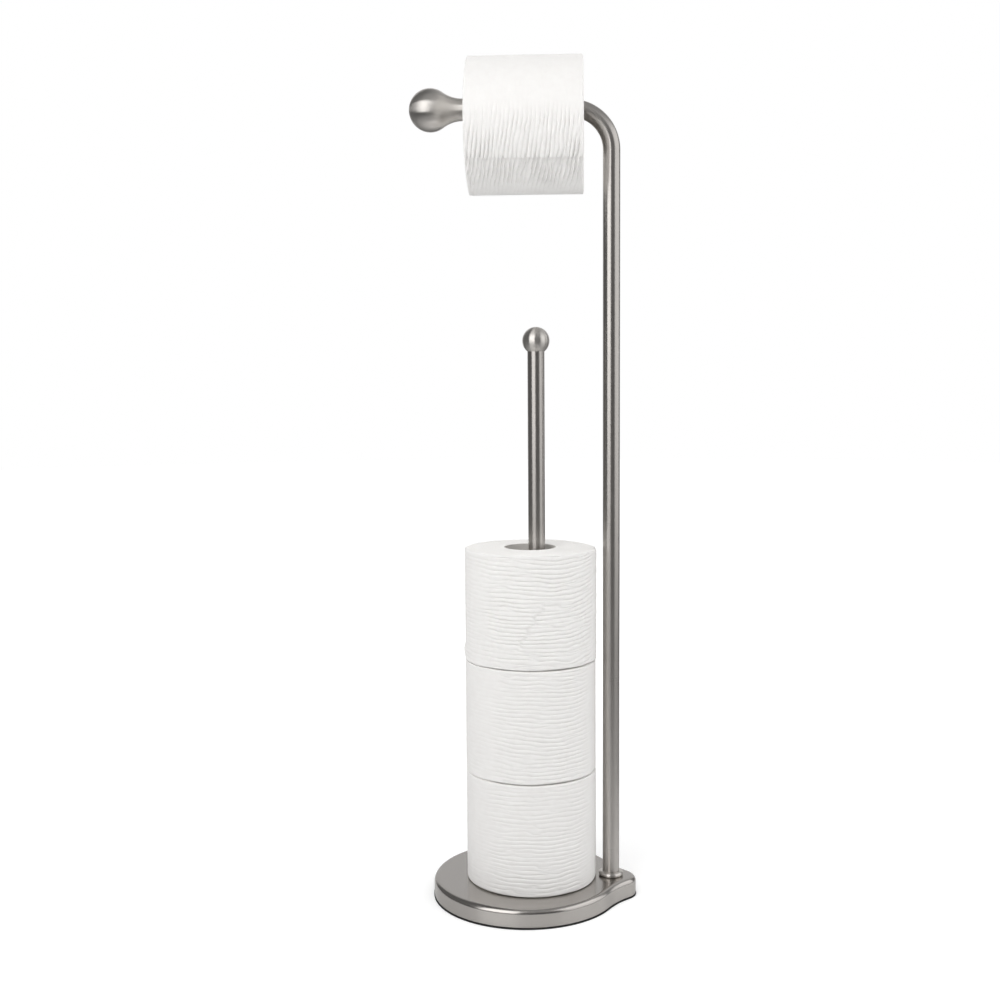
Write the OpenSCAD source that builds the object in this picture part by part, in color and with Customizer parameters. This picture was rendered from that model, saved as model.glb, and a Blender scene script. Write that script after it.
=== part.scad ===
// Free-standing toilet roll holder with a reserve post, loaded with four rolls.
// The origin is the centre of the base's round part, on the floor.
// +X runs towards the upright, the arm points back along -X, and +Z is up.

/* [Base] */
// Diameter of the base's round part
disc_d = 167; // [156:1:176]
// Height of the base's flat top above the floor
base_h = 17.5; // [16:0.5:24]
// Radius of the rolled rim round the top
rim_r = 5; // [3:0.5:7]
// Radius of the nose tip
nose_r = 17.5; // [16:0.5:20]
// How far the nose's centre lies beyond the upright
nose_lead = 5; // [3:0.5:7]
// Radius of the hollow flanks between disc and nose
flank_r = 84; // [60:1:110]
// Sheet thickness of the drawn cover
cover_t = 1.2; // [0.8:0.1:2]
// Thickness of the non-slip pad
pad_t = 1.8; // [1:0.1:3]
// How far the pad shows beyond the cover
pad_lip = 0.4; // [0:0.1:1]

/* [Tubes] */
// Outer diameter of the upright, arm and post
tube_d = 15; // [14:0.5:18]
// Wall of the tubes
tube_wall = 1.2; // [0.8:0.1:2]
// How far the bead rings at the tubes' feet stand out from the tubes
collar_w = 3.5; // [2.5:0.5:4.5]
// Height of the bead rings
collar_h = 4; // [3:0.5:6]

/* [Arm and knob] */
// Height of the arm's centre line above the floor
arm_z = 698; // [680:1:760]
// Centre-line radius of the bend
bend_r = 36; // [28:1:44]
// Diameter of the knob's round end
knob_d = 37; // [32:0.5:38]
// Wall of the knob's neck round the arm
neck_wall = 1.9; // [1.3:0.1:3]
// Length of the straight part of the neck
neck_len = 1.2; // [0.6:0.2:5]
// Radius of the hollow between the knob's round end and its neck
hollow_r = 30; // [22:1:36]
// How far the arm's end goes into the knob
socket_len = 8; // [5:0.5:12]
// Distance of the hanging roll's middle from the disc's centre, towards the upright
hang_x = 3; // [-5:1:6]

/* [Reserve post] */
// Distance of the post from the disc's centre, towards the upright
post_x = 11; // [2:0.5:12]
// Height of the post tube's top above the floor
post_top = 490; // [440:1:510]
// Diameter of the ball on the post
ball_d = 24; // [22:0.5:26]

/* [Fixings] */
// Thread diameter of the two base bolts
bolt_d = 8; // [6:1:8]
// Length of the base bolts under the head
bolt_len = 25; // [22:1:32]
// Width of the bolt heads across their flats
bolt_af = 13; // [10:0.5:14]
// Height of the bolt heads
head_h = 5.3; // [4:0.1:5.3]
// Outer diameter of the washers
washer_d = 16; // [15:0.5:18]
// Thickness of the washers
washer_t = 1.6; // [1:0.1:1.6]
// Diameter of the wells for the bolt heads in the weight
well_d = 22; // [19:0.5:24]
// Depth of the wells
well_h = 7.5; // [7:0.1:9]
// Thread diameter of the studs that hold the ball and the knob
stud_d = 6; // [4:0.5:7]
// How far a stud reaches to each side of its joint
stud_reach = 12; // [10:0.5:13]
// Length of the threaded plugs in the tubes' ends
plug_len = 18; // [17:0.5:24]

/* [Paper rolls] */
// Diameter of a full roll
roll_d = 117; // [110:0.5:120]
// Width of a roll
roll_w = 100; // [90:0.5:102]
// Inner diameter of the cardboard cores
core_d = 44.5; // [38:0.5:46]
// Wall of the cardboard cores
core_wall = 1; // [0.6:0.1:1.5]
// Radius of a roll's soft outer edges
roll_edge = 2.5; // [1:0.1:4]
// How far the loose spare rolls sit from the post's axis, away from the upright
stack_shift = 6; // [0:0.5:8]

/* [Clearances] */
// Gap between a screw and its thread, and between a plug and its tube
fit_gap = 0.05; // [0.02:0.01:0.1]
// Gap all round the bolts where they pass through
bolt_gap = 0.3; // [0.2:0.05:0.5]
// Gap between the weight and the cover's wall
weight_gap = 0.4; // [0.2:0.05:0.8]
// Gap between the arm and the core that hangs on it
hang_gap = 0.3; // [0.2:0.05:0.5]
// Free space between the spare rolls and the upright
upright_gap = 6; // [5:0.5:10]
// Free space between the hanging roll and the knob
knob_gap = 3; // [2:0.5:6]

/* [Hidden] */
$fn = 96;

nickel = [0.64, 0.62, 0.60];
zinc_plate = [0.72, 0.73, 0.75];
iron = [0.30, 0.30, 0.31];
black_foam = [0.06, 0.06, 0.06];
tissue = [0.95, 0.95, 0.94];
board = [0.66, 0.62, 0.56];

past = 1;                         // how far a cutter runs past the face that it cuts
disc_r = disc_d / 2;
tube_r = tube_d / 2;
tube_bore_r = tube_r - tube_wall;
collar_r = tube_r + collar_w;
plug_r = tube_bore_r - fit_gap;
bolt_hole_r = bolt_d / 2 + bolt_gap;
bolt_seat_z = pad_t + well_h;     // top of the wells, where the washers bear

roll_r = roll_d / 2;
core_r = core_d / 2;
paper_bore_r = core_r + core_wall + fit_gap;

stack_x = post_x - stack_shift;
upright_x = stack_x + roll_r + upright_gap + tube_r;
nose_x = upright_x + nose_lead;
// Centre of the flank arc on the +Y side, which touches the disc and the nose
disc_to_flank = disc_r + flank_r;
nose_to_flank = nose_r + flank_r;
flank_x = (disc_to_flank ^ 2 - nose_to_flank ^ 2 + nose_x ^ 2) / (2 * nose_x);
flank_y = sqrt(disc_to_flank ^ 2 - flank_x ^ 2);
disc_centre = [0, 0];
nose_centre = [nose_x, 0];
function flank_centre(side) = [flank_x, side * flank_y];

knob_r = knob_d / 2;
neck_r = tube_r + neck_wall;
knob_end_x = hang_x - roll_w / 2 - knob_gap;
arm_end_x = knob_end_x - socket_len;
// Centre of the knob's hollow, along the knob from its tip and out from its axis
hollow_y = neck_r + hollow_r;
hollow_x = knob_r + sqrt((knob_r + hollow_r) ^ 2 - hollow_y ^ 2);
knob_len = hollow_x + neck_len;

ball_r = ball_d / 2;
ball_rise = sqrt(ball_r ^ 2 - tube_r ^ 2);   // the ball's cut face is as wide as the tube
hang_z = arm_z + tube_r + hang_gap - core_r; // axis of the hanging roll

// ---- shared shapes ----

// Half section of a round body whose top edge is rolled over
module rolled_section(r, z0, z1, rim) {
    translate([0, z0]) square([r - rim, z1 - z0]);
    translate([0, z0]) square([r, z1 - z0 - rim]);
    if (rim > 0) translate([r - rim, z1 - rim]) circle(rim);
}

// Half section of the waste outside a flank, turned about the flank's own centre
module flank_section(r, z0, z1, rim) {
    difference() {
        translate([0, z0 - past]) square([r + rim, z1 - z0 + 2 * past]);
        translate([r, z0 - 2 * past]) square([rim + past, z1 - z0 - rim + 2 * past]);
        if (rim > 0) translate([r + rim, z1 - rim]) circle(rim);
    }
}

module slab(z0, z1, outline) {
    translate([0, 0, z0]) linear_extrude(z1 - z0) polygon(outline);
}

// Solid under the base's outline, moved in by inset, with its top edge rolled over.
// The disc, the nose and the web between them meet in the planes through the centres of
// their arcs, and a strip along the middle runs through all three.
module teardrop(inset, z0, z1, rim) {
    difference() {
        rotate_extrude() rolled_section(disc_r - inset, z0, z1, rim);
        slab(z0 - past, z1 + past, [disc_centre, flank_centre(-1), flank_centre(1)]);
    }
    intersection() {
        translate(nose_centre) rotate_extrude() rolled_section(nose_r - inset, z0, z1, rim);
        slab(z0 - past, z1 + past, [nose_centre, flank_centre(-1), flank_centre(1)]);
    }
    difference() {
        slab(z0, z1, [disc_centre, flank_centre(-1), nose_centre, flank_centre(1)]);
        for (side = [-1, 1])
            at_flank(side) rotate_extrude() flank_section(flank_r + inset, z0, z1, rim);
    }
    strip_w = nose_r - inset - rim;
    translate([-strip_w, -strip_w / 2, z0])
        cube([nose_x + 1.5 * strip_w, strip_w, z1 - z0]);
}

// Places its children at a flank's centre. The whole millimetres and the rest are set apart,
// because the disc and the flank touch truly only if this place keeps all of its digits.
module at_flank(side) {
    translate([floor(flank_x), side * floor(flank_y), 0])
        translate([flank_x % 1, side * (flank_y % 1), 0])
            children();
}

// Puts its children at the feet of the upright and of the post
module at_feet() {
    for (x = [post_x, upright_x]) translate([x, 0, 0]) children();
}

module ring(outer_r, inner_r, h) {
    difference() {
        cylinder(h = h, r = outer_r);
        translate([0, 0, -past]) cylinder(h = h + 2 * past, r = inner_r);
    }
}

// Bead ring that hides the joint between a tube and the base
module foot_collar(x) {
    bead_r = collar_h / 2;
    translate([x, 0, base_h])
        difference() {
            rotate_extrude() {
                translate([collar_r - bead_r, bead_r]) circle(bead_r);
                square([collar_r - bead_r, collar_h]);
            }
            translate([0, 0, -past]) cylinder(h = collar_h + 2 * past, r = tube_r + fit_gap);
        }
}

module threaded_plug(h, thread_d) {
    ring(plug_r, thread_d / 2 + fit_gap, h);
}

module foot_plug(x) {
    translate([x, 0, base_h]) threaded_plug(plug_len, bolt_d);
}

module foot_washer(x) {
    translate([x, 0, bolt_seat_z - washer_t]) ring(washer_d / 2, bolt_hole_r, washer_t);
}

module foot_bolt(x) {
    translate([x, 0, bolt_seat_z - washer_t]) {
        cylinder(h = bolt_len, d = bolt_d);
        translate([0, 0, -head_h]) cylinder(h = head_h, d = bolt_af / cos(30), $fn = 6);
    }
}

// Stud centred on the joint that it crosses
module stud() {
    translate([0, 0, -stud_reach]) cylinder(h = 2 * stud_reach, d = stud_d);
}

// Blind hole for a stud, from the joint upwards
module stud_hole() {
    translate([0, 0, -past]) cylinder(h = stud_reach + 2 * past, r = stud_d / 2 + fit_gap);
}

// Places its children at the arm's end, with +Z of the child running along -X
module at_arm_end() {
    translate([arm_end_x, 0, arm_z]) rotate([0, -90, 0]) children();
}

// Paper of one roll, standing on its end
module roll_paper() {
    rotate_extrude() {
        translate([paper_bore_r, 0]) square([roll_r - roll_edge - paper_bore_r, roll_w]);
        translate([paper_bore_r, roll_edge]) square([roll_r - paper_bore_r, roll_w - 2 * roll_edge]);
        for (z = [roll_edge, roll_w - roll_edge]) translate([roll_r - roll_edge, z]) circle(roll_edge);
    }
}

module roll_core() {
    ring(core_r + core_wall, core_r, roll_w);
}

// Places a roll on the reserve post, counted from 0 at the bottom
module on_post(place) {
    translate([stack_x, 0, base_h + place * roll_w]) children();
}

// Hangs a roll on the arm
module on_arm() {
    translate([hang_x - roll_w / 2, 0, hang_z]) rotate([0, 90, 0]) children();
}

// ---- base ----

module base_cover() color(nickel)
    difference() {
        teardrop(0, pad_t, base_h, rim_r);
        teardrop(cover_t, pad_t - past, base_h - cover_t, rim_r - cover_t);
        at_feet() cylinder(h = base_h + past, r = bolt_hole_r);
    }

module base_weight() color(iron)
    difference() {
        teardrop(cover_t + weight_gap, pad_t, base_h - cover_t, rim_r - cover_t);
        at_feet() {
            cylinder(h = base_h, r = bolt_hole_r);
            translate([0, 0, pad_t - past]) cylinder(h = well_h + past, d = well_d);
        }
    }

module base_pad() color(black_foam) teardrop(-pad_lip, 0, pad_t, 0);

// ---- upright and arm ----

// Solid run of the upright, the bend and the arm, at radius r
module upright_run(r) {
    translate([upright_x, 0, base_h]) cylinder(h = arm_z - bend_r - base_h, r = r);
    translate([upright_x - bend_r, 0, arm_z - bend_r])
        rotate([90, 0, 0]) rotate_extrude(angle = 90) translate([bend_r, 0]) circle(r);
    translate([arm_end_x, 0, arm_z])
        rotate([0, 90, 0]) cylinder(h = upright_x - bend_r - arm_end_x, r = r);
}

module upright_tube() color(nickel)
    difference() {
        upright_run(tube_r);
        upright_run(tube_bore_r);
    }

module upright_collar() color(nickel) foot_collar(upright_x);
module upright_foot_plug() color(zinc_plate) foot_plug(upright_x);
module upright_washer() color(zinc_plate) foot_washer(upright_x);
module upright_bolt() color(zinc_plate) foot_bolt(upright_x);

module arm_end_plug() color(zinc_plate)
    at_arm_end() translate([0, 0, -plug_len]) threaded_plug(plug_len, stud_d);

module knob_stud() color(zinc_plate) at_arm_end() stud();

// Half plane section on the neck's side of the line where the knob's two arcs meet
module neck_side() {
    polygon([[knob_r, 0], [hollow_x, hollow_y], [knob_len, hollow_y], [knob_len, 0]]);
}

// Half section of the knob along X from its tip: a ball drawn out into a neck
module knob_section() {
    difference() {
        square([knob_len, knob_r]);
        difference() {
            square([knob_len, knob_r + past]);
            neck_side();
            translate([knob_r, 0]) circle(knob_r);
        }
        translate([hollow_x, hollow_y]) circle(hollow_r);
        translate([hollow_x, neck_r]) square([knob_len - hollow_x + past, hollow_r]);
    }
}

module arm_knob() color(nickel)
    difference() {
        translate([knob_end_x - knob_len, 0, arm_z])
            rotate([0, 90, 0]) rotate_extrude() mirror([1, -1]) knob_section();
        at_arm_end() {
            translate([0, 0, -socket_len - past]) cylinder(h = socket_len + past, r = tube_r + fit_gap);
            stud_hole();
        }
    }

// ---- reserve post ----

module post_tube() color(nickel)
    translate([post_x, 0, base_h]) ring(tube_r, tube_bore_r, post_top - base_h);

module post_collar() color(nickel) foot_collar(post_x);
module post_foot_plug() color(zinc_plate) foot_plug(post_x);
module post_washer() color(zinc_plate) foot_washer(post_x);
module post_bolt() color(zinc_plate) foot_bolt(post_x);

module post_top_plug() color(zinc_plate)
    translate([post_x, 0, post_top - plug_len]) threaded_plug(plug_len, stud_d);

module ball_stud() color(zinc_plate) translate([post_x, 0, post_top]) stud();

module post_ball() color(nickel)
    translate([post_x, 0, post_top])
        difference() {
            translate([0, 0, ball_rise]) sphere(ball_r);
            translate([-ball_d, -ball_d, -ball_d]) cube([2 * ball_d, 2 * ball_d, ball_d]);
            stud_hole();
        }

// ---- paper rolls ----

module hanging_roll_paper() color(tissue) on_arm() roll_paper();
module hanging_roll_core() color(board) on_arm() roll_core();
module bottom_roll_paper() color(tissue) on_post(0) roll_paper();
module bottom_roll_core() color(board) on_post(0) roll_core();
module middle_roll_paper() color(tissue) on_post(1) roll_paper();
module middle_roll_core() color(board) on_post(1) roll_core();
module top_roll_paper() color(tissue) on_post(2) roll_paper();
module top_roll_core() color(board) on_post(2) roll_core();

base_cover();
base_weight();
base_pad();
upright_tube();
upright_collar();
upright_foot_plug();
upright_washer();
upright_bolt();
arm_end_plug();
knob_stud();
arm_knob();
post_tube();
post_collar();
post_foot_plug();
post_washer();
post_bolt();
post_top_plug();
ball_stud();
post_ball();
hanging_roll_paper();
hanging_roll_core();
bottom_roll_paper();
bottom_roll_core();
middle_roll_paper();
middle_roll_core();
top_roll_paper();
top_roll_core();
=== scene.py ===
"""Toilet roll stand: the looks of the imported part.

Each class is one sub-assembly. Its fields are sizes in millimetres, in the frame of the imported
model, and its methods build the meshes and give them their finishes.
"""

import logging
import math
from dataclasses import dataclass
from enum import Enum
from functools import lru_cache
from typing import Callable, Iterable, Optional, Sequence, Union

import bmesh
import bpy
from mathutils import Matrix, Vector, noise


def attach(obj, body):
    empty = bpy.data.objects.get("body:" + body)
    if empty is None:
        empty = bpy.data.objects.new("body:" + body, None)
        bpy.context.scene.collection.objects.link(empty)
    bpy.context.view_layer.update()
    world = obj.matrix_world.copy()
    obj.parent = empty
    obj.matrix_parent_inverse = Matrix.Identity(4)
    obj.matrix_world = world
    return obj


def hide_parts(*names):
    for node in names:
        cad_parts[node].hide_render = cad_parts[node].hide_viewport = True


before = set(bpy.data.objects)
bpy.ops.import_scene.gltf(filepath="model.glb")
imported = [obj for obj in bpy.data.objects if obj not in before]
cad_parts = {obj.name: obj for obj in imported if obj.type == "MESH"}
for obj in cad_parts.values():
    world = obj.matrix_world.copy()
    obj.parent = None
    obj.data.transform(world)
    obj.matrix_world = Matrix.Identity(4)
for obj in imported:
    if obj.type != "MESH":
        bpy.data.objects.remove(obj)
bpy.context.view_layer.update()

log = logging.getLogger("toilet_roll_stand")

MM = 0.001
TURN = 2 * math.pi
X_AXIS = Vector((1, 0, 0))
Y_AXIS = Vector((0, 1, 0))
Z_AXIS = Vector((0, 0, 1))
NEAR = 1e-3
MERGE = 1e-4
PLAY = 0.05
Buffing = Callable[[Vector], tuple[Vector, Vector]]
Input = Union[float, tuple, bpy.types.NodeSocket, bpy.types.Node]
Inputs = dict[Union[str, int], Input]
Material = bpy.types.Material
Mesh = bmesh.types.BMesh
Triple = tuple[float, float, float]
Tree = bpy.types.NodeTree


# ---- colours and nodes ----


def linear(code: str) -> tuple[float, float, float, float]:
    """Turn an sRGB hex colour into linear RGBA.

    Args:
        code: Colour such as "#A0A0A0".

    Returns:
        The linear colour with an alpha of 1.
    """
    parts = [int(code[i : i + 2], 16) / 255 for i in (1, 3, 5)]
    red, green, blue = (c / 12.92 if c <= 0.04045 else ((c + 0.055) / 1.055) ** 2.4 for c in parts)
    return red, green, blue, 1.0


def add_node(
    tree: Tree, kind: str, inputs: Optional[Inputs] = None, **settings: object
) -> bpy.types.Node:
    """Add one node with its settings, values and links.

    Args:
        tree: Node tree that takes the node.
        kind: The node's type name, without its prefix "ShaderNode".
        inputs: For each input socket, by name or number, its value, or the socket or the node
            (its first output) to link from.
        settings: The node's own settings.

    Returns:
        The new node.
    """
    node = tree.nodes.new(f"ShaderNode{kind}")
    for key, value in settings.items():
        setattr(node, key, value)
    for key, value in (inputs or {}).items():
        if isinstance(value, bpy.types.Node):
            value = value.outputs[0]
        if isinstance(value, bpy.types.NodeSocket):
            tree.links.new(value, node.inputs[key])
        else:
            node.inputs[key].default_value = value
    return node


def mapped(value: Input, *limits: float) -> Inputs:
    """Give the inputs that map a value from its lowest and highest to two new ones."""
    return {"Value": value, **dict(zip(("From Min", "From Max", "To Min", "To Max"), limits))}


def new_material(name: str) -> tuple[Material, Tree]:
    """Make an empty node material.

    Args:
        name: The material's name.

    Returns:
        The material and its node tree, without nodes.
    """
    material = bpy.data.materials.new(name)
    material.use_nodes = True
    material.node_tree.nodes.clear()
    return material, material.node_tree


# ---- finishes ----


@dataclass(frozen=True)
class Finish:
    """What the finishes share: one material each, made once, with one shader."""

    name: str

    @lru_cache(maxsize=None)
    def material(self) -> Material:
        """Make the material.

        Returns:
            The material.
        """
        made, tree = new_material(self.name)
        shader = add_node(tree, "BsdfPrincipled", self.surface(tree))
        add_node(tree, "OutputMaterial", {"Surface": shader})
        return made

    def surface(self, tree: Tree) -> Inputs:
        """Add the nodes that feed the shader to the tree, and give the shader's inputs."""
        raise NotImplementedError(self.name)


@dataclass(frozen=True)
class SatinNickel(Finish):
    """Nickel plate on steel, buffed to a satin: a warm pale grey that blurs what it mirrors.

    The buffing leaves hair lines that run round turned pieces, so their highlights spread along
    the axis. The real lines are about 0.05 mm apart and are drawn at hair_line so that they show.
    """

    roughness: tuple[float, float]
    spread: float
    hair_length: float
    hair_line: float = 0.35
    colour: str = "#B9B5B1"
    cloud: float = 30.0

    def surface(self, tree: Tree) -> Inputs:
        """Feed the shader from two attributes.

        Args:
            tree: The material's node tree.

        Returns:
            The shader's inputs. The third number of "lay", in mm, crosses the hair lines, and
            highlights widen along "spread".
        """
        lay = add_node(tree, "Attribute", attribute_name="lay").outputs["Vector"]
        stretch = (1 / self.hair_length, 1 / self.hair_length, 1 / self.hair_line)
        stretched = add_node(tree, "Mapping", {"Vector": lay, "Scale": stretch})
        hair = add_node(tree, "TexNoise", {"Vector": stretched, "Scale": 1.0, "Detail": 2.0})
        cloud = add_node(tree, "TexNoise", {"Vector": lay, "Scale": 1 / self.cloud, "Detail": 3.0})
        both = add_node(tree, "Math", {0: hair, 1: cloud}, operation="ADD")
        rough = add_node(tree, "MapRange", mapped(both, 0.6, 1.4, *self.roughness))
        bump = add_node(tree, "Bump", {"Height": hair, "Strength": 0.12, "Distance": 0.02 * MM})
        inputs = {
            "Base Color": linear(self.colour), "Metallic": 1.0, "Roughness": rough,
            "Anisotropic": self.spread, "Normal": bump,
        }
        if self.spread:
            along = add_node(tree, "Attribute", attribute_name="spread")
            inputs["Tangent"] = along.outputs["Vector"]
        return inputs


@dataclass(frozen=True)
class ZincPlate(Finish):
    """Bright zinc plate on turned steel: cool, slightly blue, with fine turning marks."""

    name: str = "zinc_plated_steel"
    colour: str = "#C3C6CA"
    roughness: tuple[float, float] = (0.26, 0.4)
    grain: float = 0.6

    def surface(self, tree: Tree) -> Inputs:
        """Feed the shader from one grain.

        Args:
            tree: The material's node tree.

        Returns:
            The shader's inputs.
        """
        place = add_node(tree, "TexCoord").outputs["Object"]
        scale = 1 / (self.grain * MM)
        grain = add_node(tree, "TexNoise", {"Vector": place, "Scale": scale, "Detail": 3.0})
        rough = add_node(tree, "MapRange", mapped(grain, 0.3, 0.7, *self.roughness))
        bump = add_node(tree, "Bump", {"Height": grain, "Strength": 0.2, "Distance": 0.02 * MM})
        return {
            "Base Color": linear(self.colour), "Metallic": 1.0, "Roughness": rough, "Normal": bump
        }


@dataclass(frozen=True)
class MatteGrain(Finish):
    """A matt finish: relief from a fine grain, and two tones mixed by it or by its clumps."""

    dark: str
    light: str
    roughness: float
    grain: float
    relief: float
    strength: float = 0.6
    detail: float = 4.0
    clump: Optional[float] = None
    specular: float = 0.5
    sheen: float = 0.0

    def surface(self, tree: Tree) -> Inputs:
        """Feed the shader from the grain and its clumps.

        Args:
            tree: The material's node tree.

        Returns:
            The shader's inputs.
        """
        place = add_node(tree, "TexCoord").outputs["Object"]
        scale = 1 / (self.grain * MM)
        inputs = {"Vector": place, "Scale": scale, "Detail": self.detail, "Roughness": 0.6}
        toned = grain = add_node(tree, "TexNoise", inputs)
        if self.clump:
            scale = 1 / (self.clump * MM)
            toned = add_node(tree, "TexNoise", {"Vector": place, "Scale": scale, "Detail": 2.0})
        inputs = {"Factor": toned, "A": linear(self.dark), "B": linear(self.light)}
        tone = add_node(tree, "Mix", inputs, data_type="RGBA")
        inputs = {"Height": grain, "Strength": self.strength, "Distance": self.relief * MM}
        return {
            "Base Color": tone.outputs["Result"], "Roughness": self.roughness,
            "Specular IOR Level": self.specular, "Sheen Weight": self.sheen, "Sheen Roughness": 0.6,
            "Normal": add_node(tree, "Bump", inputs),
        }


@dataclass(frozen=True)
class WoundTissue(Finish):
    """The ends of the wound tissue: cut edges of plies that lie about 0.25 mm apart.

    The plies are drawn at ply millimetres so that they show, with a slow change of tone between
    tight and loose turns. Both tones are paler than the tissue on the roll's sides: painted light
    that stands in for the light falling on the top ends.
    """

    name: str = "wound_tissue_end_painted_light"
    # Both tones paler than the side tissue's: painted light for the top ends
    colour: str = "#F8F7F5"
    shade: str = "#ECEAE7"
    ply: float = 0.55
    fibre: float = 0.4

    def surface(self, tree: Tree) -> Inputs:
        """Feed the shader from the turns and the fibres.

        Args:
            tree: The material's node tree.

        Returns:
            The shader's inputs. V of the UV map is the distance out from the core, in mm.
        """
        place = add_node(tree, "TexCoord")
        apart = add_node(tree, "SeparateXYZ", {"Vector": place.outputs["UV"]})
        turns = add_node(
            tree, "TexNoise",
            {"W": apart.outputs["Y"], "Scale": 1 / self.ply, "Detail": 2.0, "Roughness": 0.7},
            noise_dimensions="1D",
        )
        fibre = add_node(
            tree, "TexNoise",
            {"Vector": place.outputs["Object"], "Scale": 1 / (self.fibre * MM), "Detail": 3.0},
        )
        both = add_node(tree, "Math", {0: turns, 1: 0.75, 2: fibre}, operation="MULTIPLY_ADD")
        level = add_node(tree, "MapRange", mapped(both, 0.6, 1.1))
        tone = add_node(
            tree, "Mix", {"Factor": level, "A": linear(self.shade), "B": linear(self.colour)},
            data_type="RGBA",
        )
        bump = add_node(tree, "Bump", {"Height": both, "Strength": 0.45, "Distance": 0.2 * MM})
        return {
            "Base Color": tone.outputs["Result"], "Roughness": 0.97, "Specular IOR Level": 0.1,
            "Normal": bump,
        }


@dataclass(frozen=True)
class CoreBoard(Finish):
    """Grey board wound in a spiral and glued: speckled fibres and an open butt seam."""

    name: str = "grey_core_board"
    dark: str = "#C8C5C0"
    light: str = "#DBD8D4"
    seam: str = "#8A8680"
    strip: float = 62.0
    way_round: float = 143.0
    seam_width: float = 0.5
    speck: float = 0.5

    def surface(self, tree: Tree) -> Inputs:
        """Feed the shader from the specks and the seam.

        Args:
            tree: The material's node tree.

        Returns:
            The shader's inputs. The UV map runs around and along the core, in mm.
        """
        place = add_node(tree, "TexCoord")
        apart = add_node(tree, "SeparateXYZ", {"Vector": place.outputs["UV"]})
        slope = add_node(
            tree, "Math",
            {0: apart.outputs["X"], 1: self.strip / self.way_round, 2: apart.outputs["Y"]},
            operation="MULTIPLY_ADD",
        )
        wrapped = add_node(tree, "Math", {0: slope, 1: self.strip, 2: 0.0}, operation="WRAP")
        gap = add_node(tree, "Math", {0: wrapped, 1: self.seam_width}, operation="LESS_THAN")
        speck = add_node(
            tree, "TexNoise",
            {"Vector": place.outputs["Object"], "Scale": 1 / (self.speck * MM), "Detail": 4.0},
        )
        board = add_node(
            tree, "Mix", {"Factor": speck, "A": linear(self.dark), "B": linear(self.light)},
            data_type="RGBA",
        )
        tone = add_node(
            tree, "Mix", {"Factor": gap, "A": board.outputs["Result"], "B": linear(self.seam)},
            data_type="RGBA",
        )
        height = add_node(tree, "Math", {0: speck, 1: gap}, operation="SUBTRACT")
        bump = add_node(tree, "Bump", {"Height": height, "Strength": 0.5, "Distance": 0.1 * MM})
        return {"Base Color": tone.outputs["Result"], "Roughness": 0.88, "Normal": bump}


# Tube ground between wheels, knobs turned on a lathe, cover pressed and then buffed lengthwise
TUBE_NICKEL = SatinNickel("satin_nickel_tube", (0.27, 0.33), 0.75, 14.0)
# Turned pieces: the turning marks and their spread are real; the paler tone than the tubes' nickel
# is painted light that brightens the highlights on knob, ball and beads
TURNED_NICKEL_PAINTED_LIGHT = SatinNickel("satin_nickel_turned_painted_light", (0.3, 0.36), 0.96, 10.0, colour="#DAD6D1")
PRESSED_NICKEL = SatinNickel("satin_nickel_pressed", (0.19, 0.25), 0.0, 25.0)
ZINC = ZincPlate()
# Sand-cast grey iron: dark, with the mould's coarse grain
IRON = MatteGrain("sand_cast_iron", "#2E2E30", "#4A4A4C", 0.75, 1.2, 0.25)
# Closed-cell foam sheet: black, with cells about 0.6 mm across
FOAM = MatteGrain("closed_cell_foam", "#121212", "#242424", 0.92, 0.6, 0.12)
# Two-ply bathroom tissue: off-white, fully matt, with fibres about 0.5 mm across in clumps
TISSUE = MatteGrain(
    "tissue", "#E8E6E4", "#EEEDEB", 0.95, 0.5, 0.12, 0.35, 3.0, clump=6.0, specular=0.15, sheen=0.08
)
# Roll ends: cut plies in tones paler than the side tissue, the paleness painted light for the top
# ends
TISSUE_END_PAINTED_LIGHT = WoundTissue()
BOARD = CoreBoard()
WHITE = linear("#FFFFFF")
FLOOR_GREY = linear("#E6E6E6")


# ---- mesh helpers ----


class Pen:
    """Draws one open line of edges in a bmesh, from straight runs and arcs."""

    def __init__(self, bm: Mesh, start: Sequence[float]) -> None:
        """Put the pen down in a mesh, at a point."""
        self.bm = bm
        self.tip = bm.verts.new(start)

    def line(self, to: Sequence[float]) -> None:
        """Draw a straight run to a point."""
        self.tip = bmesh.ops.extrude_vert_indiv(self.bm, verts=[self.tip])["verts"][0]
        self.tip.co = to

    def arc(self, centre: Sequence[float], axis: Vector, degrees: float, steps: int) -> None:
        """Draw an arc from the pen's place.

        Args:
            centre: The arc's centre.
            axis: Normal of the arc's plane.
            degrees: Angle, right-handed about the axis.
            steps: Number of edges.
        """
        made = bmesh.ops.spin(
            self.bm, geom=[self.tip], cent=centre, axis=axis, angle=math.radians(degrees),
            steps=steps, use_merge=False,
        )
        self.tip = verts_of(made["geom_last"])[0]


def verts_of(geom: Iterable) -> list[bmesh.types.BMVert]:
    """Pick the vertices out of what an operator gives back."""
    return [item for item in geom if isinstance(item, bmesh.types.BMVert)]


def edges_of(geom: Iterable) -> list[bmesh.types.BMEdge]:
    """Pick the edges out of what an operator gives back."""
    return [item for item in geom if isinstance(item, bmesh.types.BMEdge)]


def turn_full(bm: Mesh, centre: Sequence[float], axis: Vector, steps: int) -> None:
    """Spin everything in the mesh through a full turn and close it.

    Args:
        bm: Mesh that holds the half section.
        centre: A point on the axis.
        axis: Direction of the axis.
        steps: Number of steps in the turn.
    """
    bmesh.ops.spin(
        bm, geom=bm.verts[:] + bm.edges[:], cent=centre, axis=axis, angle=TURN, steps=steps,
        use_merge=True,
    )
    bmesh.ops.remove_doubles(bm, verts=bm.verts, dist=MERGE)
    bmesh.ops.recalc_face_normals(bm, faces=bm.faces)


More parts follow.
